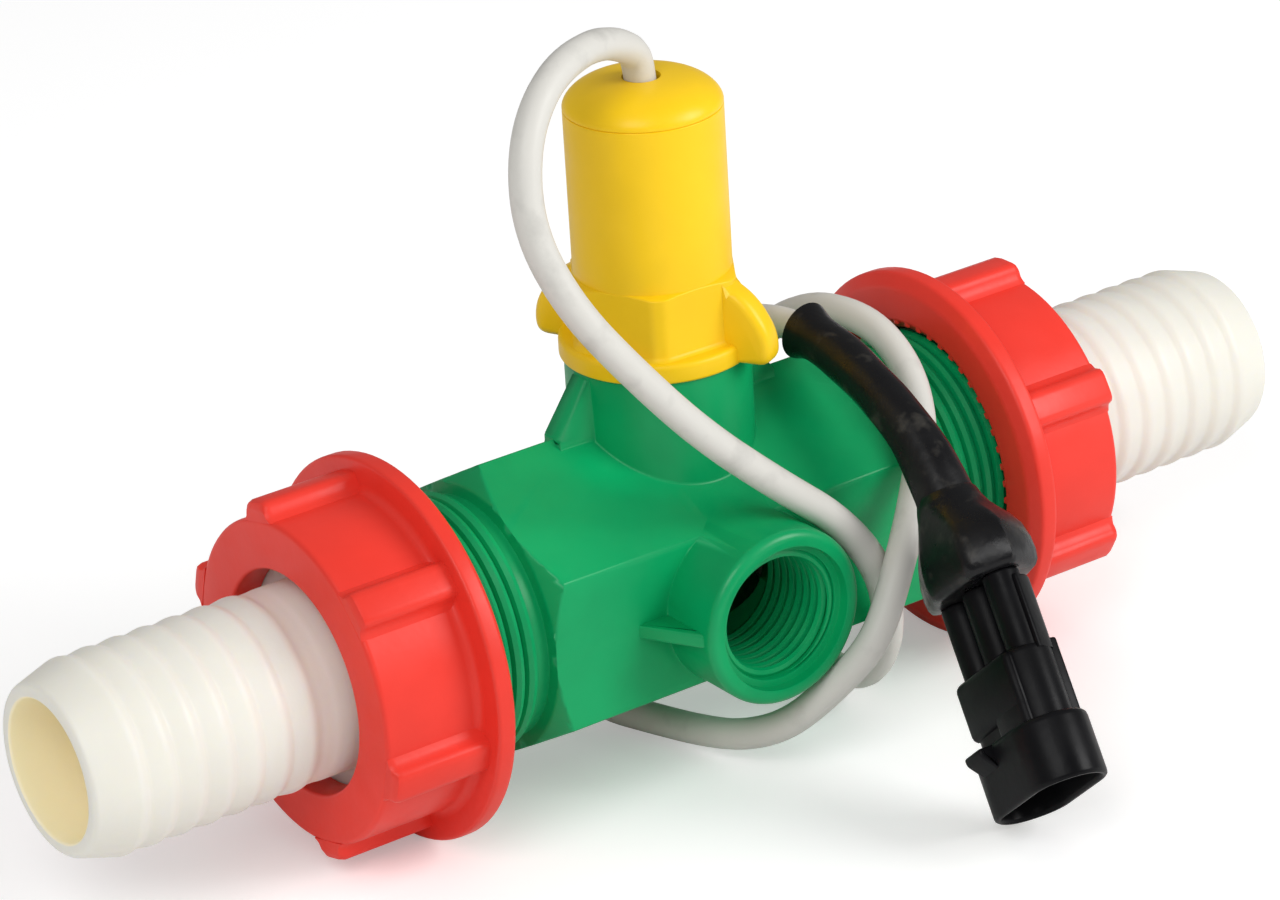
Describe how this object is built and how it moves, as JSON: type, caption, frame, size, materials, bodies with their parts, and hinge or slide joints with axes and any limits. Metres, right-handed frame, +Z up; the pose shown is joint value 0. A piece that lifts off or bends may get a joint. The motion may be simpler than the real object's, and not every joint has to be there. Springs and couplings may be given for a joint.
{
  "type": "flow meter",
  "caption": "In-line turbine flow meter with barbed hose tails held by ribbed ring nuts, a threaded side port and a plug-in pulse sensor whose cable ends in a sealed connector.",
  "frame": {"origin": "on the bench plane that the ring nuts stand on, under the middle of the pipe axis", "axes": "+X along the pipe in the flow direction, -Y out of the threaded side port, +Z up through the sensor"},
  "size_m": [0.225, 0.1148, 0.1222],
  "materials": {
    "body_green": "satin moulded plastic with a fine grain",
    "nut_red": "satin moulded plastic",
    "tail_ivory": "satin, slightly translucent",
    "sensor_yellow": "satin moulded plastic",
    "seal_rubber": "matte",
    "insert_white": "matte",
    "bush_brass": "turned",
    "rotor_grey": "matte",
    "magnet_dark": "matte ferrite",
    "axle_steel": "ground",
    "board_green": "satin",
    "chip_black": "matte",
    "cable_white": "satin jacket, lightly scuffed",
    "sleeve_black": "satin, dusty",
    "connector_black": "satin",
    "pin_brass": "tinned"
  },
  "bodies": {
    "meter": {"meter_body": "body_green", "inlet_flow_straightener": "insert_white", "outlet_flow_straightener": "insert_white", "inlet_bush": "bush_brass", "outlet_bush": "bush_brass", "sensor_housing": "sensor_yellow", "sensor_lid": "sensor_yellow", "sensor_oring": "seal_rubber", "circuit_board": "board_green", "hall_element": "chip_black", "cable": "cable_white", "cable_sleeve": "sleeve_black", "connector_boot": "sleeve_black", "connector_housing": "connector_black", "connector_pins": "pin_brass"},
    "turbine": {"turbine_rotor": "rotor_grey", "rotor_magnets": "magnet_dark", "rotor_axle": "axle_steel"},
    "inlet_union": {"inlet_hose_tail": "tail_ivory", "inlet_gasket": "seal_rubber"},
    "inlet_nut": {"inlet_ring_nut": "nut_red"},
    "outlet_union": {"outlet_hose_tail": "tail_ivory", "outlet_gasket": "seal_rubber"},
    "outlet_nut": {"outlet_ring_nut": "nut_red"}
  },
  "joints": [
    {"name": "rotor_spin", "type": "hinge", "parent": "meter", "child": "turbine", "pos_m": [0, 0, 0.0307], "axis": [1, 0, 0], "continuous": true},
    {"name": "inlet_union_slide", "type": "slide", "parent": "meter", "child": "inlet_union", "axis": [-1, 0, 0], "range_m": [0, 0.0085]},
    {"name": "inlet_nut_turn", "type": "hinge", "parent": "inlet_union", "child": "inlet_nut", "pos_m": [-0.0596, 0, 0.0307], "axis": [-1, 0, 0], "range_deg": [0, 1320]},
    {"name": "outlet_union_slide", "type": "slide", "parent": "meter", "child": "outlet_union", "axis": [1, 0, 0], "range_m": [0, 0.0085]},
    {"name": "outlet_nut_turn", "type": "hinge", "parent": "outlet_union", "child": "outlet_nut", "pos_m": [0.0596, 0, 0.0307], "axis": [1, 0, 0], "range_deg": [0, 1320]}
  ],
  "couplings": [
    {"joint": "inlet_union_slide", "follows": "inlet_nut_turn", "m_per_rad": 0.00036749},
    {"joint": "outlet_union_slide", "follows": "outlet_nut_turn", "m_per_rad": 0.00036749}
  ]
}
